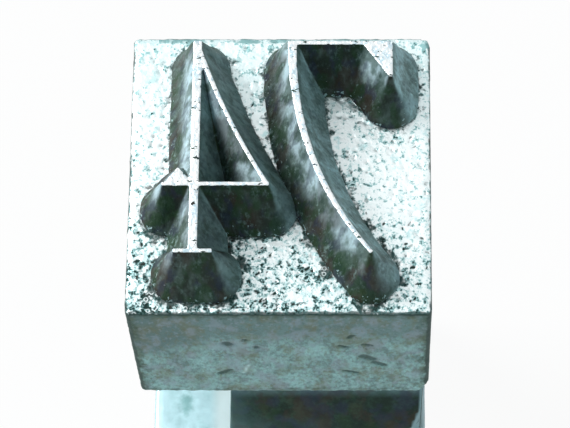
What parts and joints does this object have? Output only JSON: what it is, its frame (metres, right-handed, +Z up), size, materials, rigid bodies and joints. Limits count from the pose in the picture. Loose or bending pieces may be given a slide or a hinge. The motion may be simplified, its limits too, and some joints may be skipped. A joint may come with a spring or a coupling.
{
  "type": "typewriter type slug",
  "caption": "Square cast metal type slug with raised reversed numerals on its head, a narrower stem that jaws grip, and a foot that stands in a type bed.",
  "frame": {"origin": "centre of the foot's underside, which the slug stands on", "axes": "+Z up from the foot to the printing face, +Y towards the back of the head, +X to the right as seen from the front"},
  "size_m": [0.005, 0.005, 0.0142],
  "materials": {
    "cast_metal": "pale grey cast type metal, fine pits and dark specks, worn bright on the edges",
    "inked_metal": "dark flanks stained with old ink, thin printing strokes ground bright",
    "dark_steel": "dark, dull steel with grease in the corners"
  },
  "bodies": {
    "root": {"type_head": "cast_metal", "numeral_seven": "inked_metal", "numeral_four": "inked_metal", "stem": "dark_steel", "foot": "cast_metal"}
  },
  "joints": []
}
